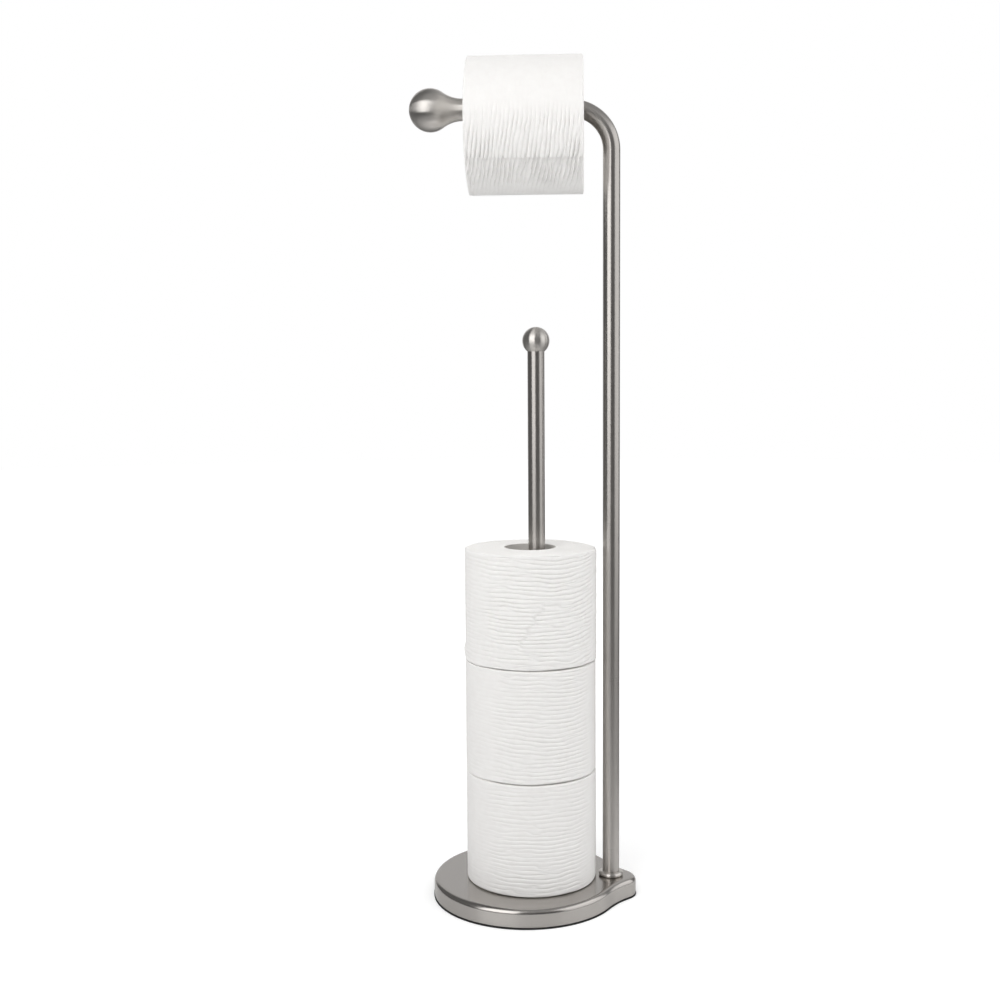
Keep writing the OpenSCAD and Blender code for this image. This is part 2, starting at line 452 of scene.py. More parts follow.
def draw_on(bm: Mesh, edges: list, way: Vector, pieces: int) -> list[bmesh.types.BMEdge]:
    """Draw an open loop of edges on in a straight line.

    Args:
        bm: Mesh that holds the loop.
        edges: The loop.
        way: The whole way to go.
        pieces: Number of equal steps.

    Returns:
        The loop at the far end.
    """
    for _ in range(pieces):
        made = bmesh.ops.extrude_edge_only(bm, edges=edges)["geom"]
        verts = verts_of(made)
        bmesh.ops.translate(bm, vec=way / pieces, verts=verts)
        edges = [e for e in edges_of(made) if e.is_boundary and set(e.verts) <= set(verts)]
    return edges


def put_in_scene(name: str, bm: Mesh, *materials: Material) -> bpy.types.Object:
    """Make an object at the origin from a mesh.

    Args:
        name: The object's name.
        bm: Its mesh in metres, which is freed.
        materials: Its materials in the order of the faces' indices.

    Returns:
        The new object.
    """
    mesh = bpy.data.meshes.new(name)
    bm.to_mesh(mesh)
    bm.free()
    for material in materials:
        mesh.materials.append(material)
    made = bpy.data.objects.new(name, mesh)
    bpy.context.scene.collection.objects.link(made)
    return made


@dataclass(frozen=True)
class Place:
    """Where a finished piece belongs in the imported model."""

    name: str
    body: str
    slot: str
    stands_for: tuple[str, ...]


def finish_piece(bm: Mesh, place: Place, *finishes: Finish, sharp: float = 32.0) -> None:
    """Turn a mesh in millimetres into a finished piece of the scene.

    Args:
        bm: The mesh, which is freed.
        place: The piece's name, body and the nodes that it stands for.
        finishes: Finishes in the order of the faces' indices.
        sharp: Edges that turn by more than this many degrees stay crisp.
    """
    limit = math.radians(sharp)
    for face in bm.faces:
        face.smooth = True
    for edge in bm.edges:
        edge.smooth = edge.calc_face_angle(0.0) < limit
    bmesh.ops.scale(bm, vec=(MM, MM, MM), verts=bm.verts)
    piece = put_in_scene(place.name, bm, *(finish.material() for finish in finishes))
    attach(piece, place.body)
    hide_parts(*place.stands_for)
    log.info("%s on %s: %d faces", place.name, place.body, len(piece.data.polygons))


def finish_nickel(bm: Mesh, name: str, node: str, finish: SatinNickel, buffing: Buffing) -> None:
    """Write how the buffing runs on a nickel piece of the stand, and finish it.

    Args:
        bm: The mesh in mm, which is freed.
        name: The piece's name.
        node: The node that it stands for.
        finish: Its finish.
        buffing: Gives a point's "lay", whose third number crosses the hair lines, and "spread",
            the direction in which its highlight widens.
    """
    lays = bm.verts.layers.float_vector.new("lay")
    spreads = bm.verts.layers.float_vector.new("spread")
    for vert in bm.verts:
        vert[lays], vert[spreads] = buffing(vert.co)
    finish_piece(bm, Place(name, "stand", "satin_nickel", (node,)), finish)


def turned_upright(x: float) -> Buffing:
    """Give the buffing of a piece that was turned about an upright axis at x."""
    return lambda co: (Vector((co.x - x, co.y, co.z)), Z_AXIS)


def dress_nodes(finish: Finish, *names: str) -> None:
    """Give the CAD's own nodes, which the scene keeps, a finish.

    Args:
        finish: The finish.
        names: Names of the nodes.
    """
    for name in names:
        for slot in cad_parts[name].material_slots:
            slot.material = finish.material()
        log.info("%s keeps its solid, in %s", name, finish.name)


# ---- the weighted base ----


@dataclass
class TeardropBase:
    """Teardrop cover with a rolled rim over an iron weight, on a foam pad."""

    disc_r: float = 83.5
    nose_r: float = 17.5
    nose_x: float = 82.0
    flank_r: float = 84.0
    pad_t: float = 1.8
    pad_lip: float = 0.4
    pad_ease: float = 0.25
    top: float = 17.5
    rim_r: float = 5.0
    wall: float = 1.2
    nose_steps: int = 48
    flank_steps: int = 40
    disc_steps: int = 160
    rim_steps: int = 14

    def flank_centre(self) -> Vector:
        """Find the flank on the +Y side, whose arc touches the disc and the nose.

        Returns:
            Its centre.
        """
        to_disc = self.disc_r + self.flank_r
        to_nose = self.nose_r + self.flank_r
        x = (to_disc**2 - to_nose**2 + self.nose_x**2) / (2 * self.nose_x)
        return Vector((x, math.sqrt(to_disc**2 - x**2), 0))

    def slab(self, grow: float, low: float, high: float, floor: bool) -> Mesh:
        """Draw the teardrop as one face and raise it.

        Args:
            grow: How far outside the cover's outline the slab reaches.
            low: Height of its underside.
            high: Height of its top.
            floor: False leaves it open below.

        Returns:
            The mesh.
        """
        bm = bmesh.new()
        flank = self.flank_centre()
        lift = Vector((0, 0, low))
        nose = Vector((self.nose_x, 0, 0))
        nose_half = math.degrees(math.atan2(flank.y, flank.x - self.nose_x))
        disc_half = math.degrees(math.atan2(flank.y, flank.x))
        flank_turn = nose_half - disc_half
        turned = Matrix.Rotation(-math.radians(nose_half), 3, "Z")
        pen = Pen(bm, nose + turned @ Vector((self.nose_r + grow, 0, 0)) + lift)
        pen.arc(nose + lift, Z_AXIS, 2 * nose_half, self.nose_steps)
        pen.arc(flank + lift, -Z_AXIS, flank_turn, self.flank_steps)
        pen.arc(lift, Z_AXIS, 360 - 2 * disc_half, self.disc_steps)
        pen.arc(Vector((flank.x, -flank.y, 0)) + lift, -Z_AXIS, flank_turn, self.flank_steps)
        bmesh.ops.remove_doubles(bm, verts=bm.verts, dist=NEAR)
        face = bmesh.ops.contextual_create(bm, geom=bm.edges[:])["faces"][0]
        face.normal_update()
        if face.normal.z < 0:
            face.normal_flip()
        raised = bmesh.ops.extrude_face_region(bm, geom=[face], use_keep_orig=floor)
        bmesh.ops.translate(bm, vec=(0, 0, high - low), verts=verts_of(raised["geom"]))
        return bm

    def build_cover(self) -> None:
        """Press the cover: the outline raised, its top edge rolled over, and a wall inside."""
        bm = self.slab(0.0, self.pad_t, self.top, floor=False)
        rim = [e for e in bm.edges if all(abs(v.co.z - self.top) < NEAR for v in e.verts)]
        bmesh.ops.bevel(
            bm, geom=rim, offset=self.rim_r, offset_type="OFFSET", affect="EDGES",
            segments=self.rim_steps, profile=0.5, material=-1, clamp_overlap=True,
        )
        under = [f for f in bm.faces if f.calc_center_median().z < self.pad_t + NEAR]
        bmesh.ops.delete(bm, geom=under, context="FACES")
        top = max(bm.faces, key=lambda f: f.calc_area())
        bmesh.ops.inset_region(bm, faces=[top], thickness=0.6, depth=0)
        bmesh.ops.recalc_face_normals(bm, faces=bm.faces)
        if top.normal.z < 0:
            bmesh.ops.reverse_faces(bm, faces=bm.faces)
        bmesh.ops.solidify(bm, geom=bm.faces[:], thickness=self.wall)
        finish_nickel(
            bm, "teardrop_cover", "base_cover", PRESSED_NICKEL,
            lambda co: (Vector((co.x, co.z, co.y)), Y_AXIS),
        )

    def build_pad(self) -> None:
        """Cut the pad, a little wider than the cover, with its two edges eased."""
        bm = self.slab(self.pad_lip, 0.0, self.pad_t, floor=True)
        bmesh.ops.recalc_face_normals(bm, faces=bm.faces)
        edges = [e for e in bm.edges if abs(e.verts[0].co.z - e.verts[1].co.z) < NEAR]
        bmesh.ops.bevel(
            bm, geom=edges, offset=self.pad_ease, affect="EDGES", segments=2, profile=0.5,
            material=-1,
        )
        finish_piece(bm, Place("foam_base_pad", "stand", "foam_pad", ("base_pad",)), FOAM)

    def build(self) -> None:
        """Build and dress the whole base."""
        self.build_cover()
        self.build_pad()
        dress_nodes(IRON, "base_weight")


# ---- tubes and their ends ----


@dataclass
class FootCollar:
    """Bead ring round a tube's foot, with a dark joint under it."""

    name: str
    node: str
    x: float
    foot_z: float = 17.5
    tube_r: float = 7.5
    reach: float = 3.5
    height: float = 4.0

    def build(self) -> None:
        """Turn the bead."""
        bm = bmesh.new()
        bead = self.height / 2
        centre = Vector((self.x + self.tube_r + self.reach - bead, 0, self.foot_z + bead))
        bore = self.x + self.tube_r + PLAY
        pen = Pen(bm, (bore, 0, self.foot_z))
        pen.line(centre - Vector((0, 0, bead)))
        pen.arc(centre, -Y_AXIS, 180, 16)
        pen.line((bore, 0, self.foot_z + self.height))
        pen.line((bore, 0, self.foot_z))
        bmesh.ops.remove_doubles(bm, verts=bm.verts, dist=MERGE)
        turn_full(bm, (self.x, 0, 0), Z_AXIS, 96)
        finish_nickel(bm, self.name, self.node, TURNED_NICKEL_PAINTED_LIGHT, turned_upright(self.x))


@dataclass
class Upright:
    """Upright tube with its bend and arm, the foot's bead, and the pulled-out ball at the tip."""

    x: float = 77.0
    foot_z: float = 17.5
    tube_r: float = 7.5
    wall: float = 1.2
    arm_z: float = 698.0
    bend_r: float = 36.0
    arm_end_x: float = -58.0
    knob_end_x: float = -50.0
    knob_r: float = 18.5
    neck_r: float = 9.4
    neck_len: float = 1.2
    hollow_r: float = 30.0
    socket: float = 8.0
    ease: float = 0.35
    sides: int = 96

    def buffing(self, co: Vector) -> tuple[Vector, Vector]:
        """Give a point's place in the tube before it was bent, and the tube's heading there.

        Args:
            co: A point on the tube.

        Returns:
            The two numbers across the tube with the length along it, in mm, and the heading.
        """
        bend_z = self.arm_z - self.bend_r
        bend_x = self.x - self.bend_r
        if co.z <= bend_z:
            return Vector((co.x - self.x, co.y, co.z)), Z_AXIS
        if co.x <= bend_x:
            length = bend_z + self.bend_r * TURN / 4 + bend_x - co.x
            return Vector((self.arm_z - co.z, co.y, length)), -X_AXIS
        reach = math.hypot(co.x - bend_x, co.z - bend_z)
        length = bend_z + self.bend_r * math.atan2(co.z - bend_z, co.x - bend_x)
        heading = Vector((bend_z - co.z, 0, co.x - bend_x)).normalized()
        return Vector((reach - self.bend_r, co.y, length)), heading

    def build_tube(self) -> None:
        """Draw the tube up, round the bend and along the arm, and give it its wall."""
        bm = bmesh.new()
        bmesh.ops.create_circle(bm, cap_ends=False, radius=self.tube_r, segments=self.sides)
        bmesh.ops.translate(bm, vec=(self.x, 0, self.foot_z), verts=bm.verts)
        bend_z = self.arm_z - self.bend_r
        loop = draw_on(bm, bm.edges[:], Vector((0, 0, bend_z - self.foot_z)), 12)
        bent = bmesh.ops.spin(
            bm, geom=loop, cent=(self.x - self.bend_r, 0, bend_z), axis=-Y_AXIS, angle=TURN / 4,
            steps=40, use_merge=False,
        )["geom_last"]
        loop = edges_of(bent)
        draw_on(bm, loop, Vector((self.arm_end_x - self.x + self.bend_r, 0, 0)), 4)
        bmesh.ops.recalc_face_normals(bm, faces=bm.faces)
        bmesh.ops.solidify(bm, geom=bm.faces[:], thickness=self.wall)
        finish_nickel(bm, "bent_upright", "upright_tube", TUBE_NICKEL, self.buffing)

    def build_knob(self) -> None:
        """Turn the knob: a ball drawn out through a hollow curve into its neck."""
        bm = bmesh.new()
        hollow_y = self.neck_r + self.hollow_r
        reach = math.sqrt((self.knob_r + self.hollow_r) ** 2 - hollow_y**2)
        length = self.knob_r + reach + self.neck_len
        tip_x = self.knob_end_x - length
        ball = Vector((tip_x + self.knob_r, 0, self.arm_z))
        hollow = Vector((ball.x + reach, 0, self.arm_z + hollow_y))
        meet = math.degrees(math.atan2(hollow_y, reach))
        socket_x = self.knob_end_x - self.socket
        bore = self.tube_r + PLAY
        eased_x = self.knob_end_x - self.ease
        pen = Pen(bm, (tip_x, 0, self.arm_z))
        pen.arc(ball, Y_AXIS, 180 - meet, 48)
        pen.arc(hollow, -Y_AXIS, 90 - meet, 20)
        pen.line((eased_x, 0, self.arm_z + self.neck_r))
        pen.arc((eased_x, 0, self.arm_z + self.neck_r - self.ease), Y_AXIS, 90, 4)
        pen.line((self.knob_end_x, 0, self.arm_z + bore))
        pen.line((socket_x, 0, self.arm_z + bore))
        pen.line((socket_x, 0, self.arm_z))
        turn_full(bm, (0, 0, self.arm_z), X_AXIS, 128)
        finish_nickel(
            bm, "arm_tip_knob", "arm_knob", TURNED_NICKEL_PAINTED_LIGHT,
            lambda co: (Vector((co.y, co.z - self.arm_z, co.x)), X_AXIS),
        )

    def build(self) -> None:
        """Build and dress the upright with all that it carries."""
        self.build_tube()
        self.build_knob()
        FootCollar("upright_foot_bead", "upright_collar", self.x).build()
        dress_nodes(ZINC, "upright_foot_plug", "upright_washer", "upright_bolt")
        dress_nodes(ZINC, "arm_end_plug", "knob_stud")


@dataclass
class ReservePost:
    """Straight post with a foot bead and a ball on top."""

    x: float = 11.0
    foot_z: float = 17.5
    top: float = 490.0
    tube_r: float = 7.5
    wall: float = 1.2
    ball_r: float = 12.0
    sides: int = 96

    def build_tube(self) -> None:
        """Cut the straight tube and give it its wall."""
        bm = bmesh.new()
        middle = (self.top + self.foot_z) / 2
        bmesh.ops.create_cone(
            bm, cap_ends=False, segments=self.sides, radius1=self.tube_r, radius2=self.tube_r,
            depth=self.top - self.foot_z, matrix=Matrix.Translation((self.x, 0, middle)),
        )
        upright = [e for e in bm.edges if abs(e.verts[0].co.z - e.verts[1].co.z) > 1]
        bmesh.ops.subdivide_edges(bm, edges=upright, cuts=9)
        bmesh.ops.recalc_face_normals(bm, faces=bm.faces)
        bmesh.ops.solidify(bm, geom=bm.faces[:], thickness=self.wall)
        finish_nickel(bm, "reserve_post", "post_tube", TUBE_NICKEL, turned_upright(self.x))

    def build_ball(self) -> None:
        """Make the ball and cut it flat where it sits on the tube."""
        bm = bmesh.new()
        rise = math.sqrt(self.ball_r**2 - self.tube_r**2)
        seat = Matrix.Translation((self.x, 0, self.top + rise))
        bmesh.ops.create_uvsphere(bm, u_segments=96, v_segments=64, radius=self.ball_r, matrix=seat)
        cut = bmesh.ops.bisect_plane(
            bm, geom=bm.verts[:] + bm.edges[:] + bm.faces[:], plane_co=(0, 0, self.top),
            plane_no=(0, 0, 1), clear_inner=True,
        )
        bmesh.ops.edgeloop_fill(bm, edges=edges_of(cut["geom_cut"]))
        bmesh.ops.recalc_face_normals(bm, faces=bm.faces)
        finish_nickel(bm, "post_top_ball", "post_ball", TURNED_NICKEL_PAINTED_LIGHT, turned_upright(self.x))

    def build(self) -> None:
        """Build and dress the post with all that it carries."""
        self.build_tube()
        self.build_ball()
        FootCollar("post_foot_bead", "post_collar", self.x).build()
        dress_nodes(
            ZINC, "post_foot_plug", "post_washer", "post_bolt", "post_top_plug", "ball_stud"
        )


# ---- the paper rolls ----


def clamp(value: float, low: float = 0.0, high: float = 1.0) -> float:
    """Keep a value between two limits."""
    return min(high, max(low, value))


class Grain(Enum):
    """How fast a noise changes: the radius of the ring that is cut from it, and mm along it."""

    DRIFT = (1.6, 40.0)
    WAVER = (4.2, 7.0)
    PATCHES = (4.0, 11.0)
    STREAKS = (3.2, 1.9)
    PRESSED = (1.8, 1.0)
    SET_BACK = (1.3, 1.0)
    SWELL = (1.4, 9.0)
    TURNS = (0.5, 1.6)
    BULGE = (3.0, 20.0)

    def at(self, turn: float, along: float, x: float = 0.0, y: float = 0.0) -> float:
        """Give the noise, which closes on itself round an axis.

        Args:
            turn: Angle about the axis, in radians.
            along: Place along the axis, in mm.
            x: Where the ring lies in the noise.
            y: The same, the other way.

        Returns:
            The noise, about -1 to 1.
        """
        ring, length = self.value
        x, y = x + ring * math.cos(turn), y + ring * math.sin(turn)
        return noise.noise(Vector((x, y, along / length)))


class RollPlace(Enum):
    """The four places for a roll: body, centre of its lower or left end, and axis."""

    HANGING = ("hanging_roll", (-47.0, 0.0, 683.55), X_AXIS)
    BOTTOM = ("bottom_roll", (5.0, 0.0, 17.5), Z_AXIS)
    MIDDLE = ("middle_roll", (5.0, 0.0, 117.5), Z_AXIS)
    TOP = ("top_roll", (5.0, 0.0, 217.5), Z_AXIS)

    @property
    def body(self) -> str:
        """Name of the body that the roll is."""
        return self.value[0]

    @property
    def start(self) -> Vector:
        """Centre of the end where the roll's length is counted from."""
        return Vector(self.value[1])

    @property
    def axis(self) -> Vector:
        """Direction of the roll's axis."""
        return self.value[2]

    @property
    def side(self) -> Vector:
        """Direction a quarter turn from -Y: the way in which angles about the axis grow."""
        return Z_AXIS if self is RollPlace.HANGING else X_AXIS

    def turn_of(self, co: Vector) -> float:
        """Angle of a point about the axis, 0 towards -Y and growing towards +X or +Z."""
        across = co - self.start
        return math.atan2(across.dot(self.side), -across.y)

    def along(self, co: Vector) -> float:
        """Distance of a point along the axis from the roll's start."""
        return (co - self.start).dot(self.axis)

    def out(self, co: Vector) -> Vector:
        """Vector from the axis to a point."""
        across = co - self.start
        return across - self.axis * across.dot(self.axis)

    def point(self, turn: float, out: float, along: float) -> Vector:
        """Give the point at an angle, a radius and a distance along the axis."""
        way = self.side * math.sin(turn) - Y_AXIS * math.cos(turn)
        return self.start + way * out + self.axis * along

    def section(
        self, bm: Mesh, turn: float, radii: tuple[float, float], alongs: tuple[float, float]
    ) -> list[bmesh.types.BMEdge]:
        """Draw the half section of a hollow cylinder.

        Args:
            bm: Mesh to draw in.
            turn: Angle of the section about the axis, in radians.
            radii: Radius inside and outside.
            alongs: Distance of both ends along the axis.

        Returns:
            The edges: first end, outside, other end, bore.
        """
        (inner, outer), (low, high) = radii, alongs
        corners = ((inner, low), (outer, low), (outer, high), (inner, high))
        verts = [bm.verts.new(self.point(turn, *corner)) for corner in corners]
        return [bm.edges.new((verts[i], verts[(i + 1) % 4])) for i in range(4)]

    def write_unrolled(self, bm: Mesh, run: Callable[[Vector], float], radius: float) -> None:
        """Write a UV map: the way round the roll and the way along its section, in mm.

        Args:
            bm: Finished mesh, in mm.
            run: Distance along the section of a point.
            radius: Radius at which the way round is measured.
        """
        layer = bm.loops.layers.uv.new("unrolled")
        places = {vert: (self.turn_of(vert.co), run(vert.co)) for vert in bm.verts}
        for face in bm.faces:
            first = places[face.verts[0]][0]
            for loop in face.loops:
                turned, ran = places[loop.vert]
                turned -= TURN * round((turned - first) / TURN)
                loop[layer].uv = (turned * radius, ran)


@dataclass(frozen=True)
class Crinkle:
    """A zigzag kink in the outer sheet, across which the ripples slip."""

    turns: tuple[float, float]
    alongs: tuple[float, float]
    slip: float = 0.5
    dent: float = 0.35
    width: float = 1.3
    reach: float = 22.0
    zigzag: float = 1.6
    zigzag_pitch: float = 11.0

    def at(self, turn: float, along: float, radius: float) -> tuple[float, float]:
        """Give the slip of the ripples and the dent at a point.

        Args:
            turn: Angle about the axis, in radians.
            along: Distance along the axis, in mm.
            radius: The roll's radius.

        Returns:
            The slip as a share of the ripples' pitch, and the dent in mm.
        """
        low, high = self.alongs
        share = (along - low) / (high - low)
        held = clamp(1.0 + 4 * share) * clamp(5 - 4 * share)
        middle = math.radians(self.turns[0] + (self.turns[1] - self.turns[0]) * share)
        across = (turn - middle) * radius + self.zigzag * math.sin(along * TURN / self.zigzag_pitch)
        if not held or abs(across) > 3 * self.reach:
            return 0.0, 0.0
        slip = self.slip * held * math.tanh(across / self.width) * math.exp(
            -abs(across) / self.reach
        )
        return slip, self.dent * held * math.exp(-((across / self.width) ** 2))


@dataclass(frozen=True)
class Tail:
    """The free end of the outer sheet, torn at its perforation."""

    turn: float
    sense: int = 1
    ply: float = 0.35
    lift: float = 0.9
    loose: float = 24.0
    gap: float = 0.55
    uneven: float = 1.5

    def under(self, turn: float) -> float:
        """Give how far round a point lies from the free edge, under the sheet, as 0 to 1."""
        return (((turn - math.radians(self.turn)) * self.sense) / TURN) % 1.0

    def nip(self, turn: float, step: float) -> float:
        """Move a column of vertices near the free edge so that the edge is crisp.

        Args:
            turn: The column's angle, half a step or more from the edge.
            step: Angle between columns.

        Returns:
            The column's new angle.
        """
        before = (turn - math.radians(self.turn)) * self.sense
        before -= TURN * round(before / TURN)
        place = math.floor(before / step + 1e-6)
        nipped = {0: 0.01, -1: -0.12, -2: -0.55}.get(place)
        if nipped is None:
            return turn
        return math.radians(self.turn) + self.sense * nipped * step

    def drop(self, turn: float, along: float, radius: float) -> float:
        """Give how far the surface lies under the free edge's end.

        Args:
            turn: Angle about the axis, in radians.
            along: Distance along the axis, in mm.
            radius: The roll's radius.

        Returns:
            The drop in mm, less than nothing where the loose end stands proud.
        """
        under = self.under(turn)
        to_edge = under * TURN * radius
        wave = noise.noise(Vector((along / 4.0, self.turn, 0.3)))
        uneven = max(0.1, 0.8 + self.uneven * wave)
        loose = max(0.0, 1 - to_edge / self.loose) ** 2 * self.lift * uneven
        hollow = max(0.0, 1 - (1 - under) * TURN * radius / 0.7) * self.gap * uneven
        return self.ply * under + hollow - loose


@dataclass(frozen=True)
class Ripples:
    """Soft creases that run round a roll, just under 4 mm apart, wander, merge and fade."""

    seed: float
    pitch: float = 3.8
    depth: float = 0.5
    notch: float = 0.48
    grain: float = 0.14
    wander: float = 2.4
    sweep: float = 0.0
    sweep_from: float = 0.0
    hook: float = 0.0
    fields: tuple[Triple, ...] = ()
    ridged: Optional[tuple[float, float]] = None

    def ridge(self, turn: float) -> float:
        """Give how far the creases stand up as ridges.

        Args:
            turn: Angle about the axis, in radians.

        Returns:
            The share, 0 to 1.
        """
        if self.ridged is None or math.degrees(turn) > self.ridged[1]:
            return 0.0
        return clamp((math.degrees(turn) - self.ridged[0]) / 10)

    def share(self, turn: float) -> float:
        """Give the share of the creases' depth at an angle.

        Args:
            turn: Angle about the axis, in radians.

        Returns:
            The share. Each field is its middle, its half width and how much it calms the creases,
            less than nothing where it deepens them.
        """
        share = 1.0
        for middle, half, calm in self.fields:
            away = max(0.0, abs(math.degrees(turn) - middle) - half) / 12
            share *= 1 - calm * math.exp(-(away**2))
        return share

    def depth_at(self, turn: float, along: float, slip: float) -> float:
        """Give the relief at a point.

        Args:
            turn: Angle about the axis.
            along: Distance along the axis.
            slip: Shift of the creases, as a share of their pitch.

        Returns:
            How far the surface lies under the outermost radius, in mm.
        """
        slow = Grain.DRIFT.at(turn, along, x=self.seed)
        quick = Grain.WAVER.at(turn, along, y=self.seed)
        place = along + self.wander * slow + quick
        place -= self.sweep * math.sin(turn - math.radians(self.sweep_from))
        place -= self.hook * clamp(turn - 0.5) ** 2
        main = abs((place / self.pitch + slip) % 1.0 - 0.5) * self.pitch
        cross_pitch = 1.6 * self.pitch
        cross = abs(((place + 4.0 * quick) / cross_pitch) % 1.0 - 0.5) * cross_pitch
        patch = Grain.PATCHES.at(turn, along, y=-self.seed)
        strong = clamp(0.9 + 1.4 * patch, 0.25, 1.4)
        other = clamp(0.2 - 1.4 * patch, 0.0, 0.7)
        fold = strong * math.exp(-main / self.notch) + other * math.exp(-cross / self.notch)
        fold += self.ridge(turn) * (0.7 - 2 * fold)
        streak = Grain.STREAKS.at(turn, along, x=-self.seed)
        return self.depth * fold * self.share(turn) + self.grain * (0.5 + 0.5 * streak)


@dataclass
class PaperRoll:
    """One roll of embossed tissue on its board core."""

    place: RollPlace
    ripples: Ripples
    tail: Tail
    crinkle: Optional[Crinkle] = None
    curl: Optional[tuple[float, float]] = None
    curl_lift: float = 1.5
    curl_turn: float = 13.0
    curl_along: float = 5.0
    slip_round: float = 0.45
    calm_end: float = 6.0
    crown: float = 8.0
    radius: float = 58.5
    width: float = 100.0
    core_r: float = 22.25
    core_wall: float = 1.0
    bore: float = 23.3
    edge: float = 1.5
    end_inset: float = 1.6
    core_inset: float = 0.15
    core_bulge: float = 0.12
    steps: int = 250
    rings: int = 240
    end_cuts: int = 16
    bore_cuts: int = 3
    core_steps: int = 128
    core_cuts: int = 20

    def run_of(self, co: Vector) -> float:
        """Give the way along the section, from the core out over one end.

        Args:
            co: A point on the paper.

        Returns:
            The way in mm.
        """
        out = self.place.out(co).length
        along = self.place.along(co)
        if along < self.edge:
            return out - self.bore
        if along > self.width - self.edge:
            return self.width + 2 * self.radius - self.bore - out
        return self.radius - self.bore + along

    def build_paper(self) -> None:
        """Wind the paper: section, full turn, relief of the outer sheet and of the ends."""
        bm = bmesh.new()
        first = math.radians(self.tail.turn) + TURN / self.steps / 2
        edges = self.place.section(bm, first, (self.bore, self.radius), (0.0, self.width))
        for edge, cuts in zip(edges, (self.end_cuts, self.rings, self.end_cuts, self.bore_cuts)):
            bmesh.ops.subdivide_edges(bm, edges=[edge], cuts=cuts)
        turn_full(bm, self.place.start, self.place.axis, self.steps)
        for vert in bm.verts:
            self.shape(vert)
        bm.normal_update()
        self.place.write_unrolled(bm, self.run_of, self.radius)
        for face in bm.faces:
            along = self.place.along(face.calc_center_median())
            out = self.place.out(face.calc_center_median()).length
            ended = along < self.edge or along > self.width - self.edge
            face.material_index = 1 if ended and out < self.radius - self.end_inset else 0
        body = self.place.body
        place = Place(f"{body}_tissue", body, "tissue", (f"{body}_paper",))
        finish_piece(bm, place, TISSUE, TISSUE_END_PAINTED_LIGHT, sharp=70.0)

    def outside(self, turn: float, along: float) -> float:
        """Give the radius of the outer sheet.

        Args:
            turn: Angle about the axis, in radians.
            along: Distance along the axis, in mm.

        Returns:
            The radius in mm.
        """
        slip, dent = 0.0, 0.0
        if self.crinkle:
            slip, dent = self.crinkle.at(turn, along, self.radius)
        slip += self.slip_round * self.tail.under(turn)
        to_end = min(along, self.width - along)
        rounded = 0.0
        pressed = Grain.PRESSED.at(turn, self.ripples.seed)
        edge = self.edge * (1 + 0.8 * pressed)
        if to_end < edge:
            rounded = edge - math.sqrt(edge**2 - (edge - to_end) ** 2)
        fade = min(1.0, 0.4 + to_end / self.calm_end)
        relief = (self.ripples.depth_at(turn, along, slip) + dent) * fade
        flare = 0.0
        if self.curl:
            near = (turn - math.radians(self.curl[0])) / math.radians(self.curl_turn)
            low = (along - self.curl[1]) / self.curl_along
            flare = self.curl_lift * math.exp(-(near**2) - low**2)
        return self.radius - rounded - relief - self.tail.drop(turn, along, self.radius) + flare

    def set_back(self, turn: float, inward: int) -> float:
        """Give how far the outer turns stop short of an end, in mm.

        Args:
            turn: Angle about the axis, in radians.
            inward: 1 at the start of the roll, -1 at its other end.

        Returns:
            The distance.
        """
        seed = self.ripples.seed + 2 * inward
        wave = Grain.SET_BACK.at(turn, seed, y=seed)
        return max(0.06, 0.33 + 0.17 * math.sin(turn) + 0.7 * wave)

    def shape(self, vert: bmesh.types.BMVert) -> None:
        """Move one vertex of the wound paper to its place in the relief.

        Args:
            vert: The vertex, which lies on the plain section.
        """
        along = self.place.along(vert.co)
        reach = self.place.out(vert.co).length
        turn = self.tail.nip(self.place.turn_of(vert.co), TURN / self.steps)
        inward = 1 if along < self.width / 2 else -1
        back = self.set_back(turn, inward)
        if reach > self.radius - 0.01:
            moved = inward * back * clamp(1 - min(along, self.width - along) / self.calm_end)
            vert.co = self.place.point(turn, self.outside(turn, along), along + moved)
        elif reach > self.bore + 0.01:
            seed = self.ripples.seed + inward
            swell = Grain.SWELL.at(turn, reach, x=seed)
            turns = Grain.TURNS.at(turn, reach, y=seed)
            edge = max(0.0, (reach - self.radius + self.crown) / self.crown)
            dip = (0.4 + 0.3 * swell + 0.14 * turns) * (1 - edge) + (back + 0.06) * edge
            share = (reach - self.bore) / (self.radius - self.bore)
            reach -= share * self.tail.drop(turn, along, self.radius)
            vert.co = self.place.point(turn, reach, along + inward * max(0.02, dip))

    def build_core(self) -> None:
        """Wind the board core, with its ends pressed a little out of true."""
        bm = bmesh.new()
        inner, outer = self.core_r, self.core_r + self.core_wall
        alongs = (self.core_inset, self.width - self.core_inset)
        _, outside, _, bore = self.place.section(bm, 0.0, (inner, outer), alongs)
        bmesh.ops.subdivide_edges(bm, edges=[outside, bore], cuts=self.core_cuts)
        turn_full(bm, self.place.start, self.place.axis, self.core_steps)
        middle = (inner + outer) / 2
        for vert in bm.verts:
            out = self.place.out(vert.co)
            turn, along = self.place.turn_of(vert.co), self.place.along(vert.co)
            wave = Grain.BULGE.at(turn, along + Grain.BULGE.value[1] * self.ripples.seed)
            limit = 0.0 if out.length > middle else self.core_bulge
            vert.co += out.normalized() * (limit * wave)
        self.place.write_unrolled(bm, self.place.along, inner)
        body = self.place.body
        place = Place(f"{body}_board_core", body, "core_board", (f"{body}_core",))
        finish_piece(bm, place, BOARD)

    def build(self) -> None:
        """Build and dress the roll."""
        self.build_paper()
        self.build_core()


# ---- studio ----


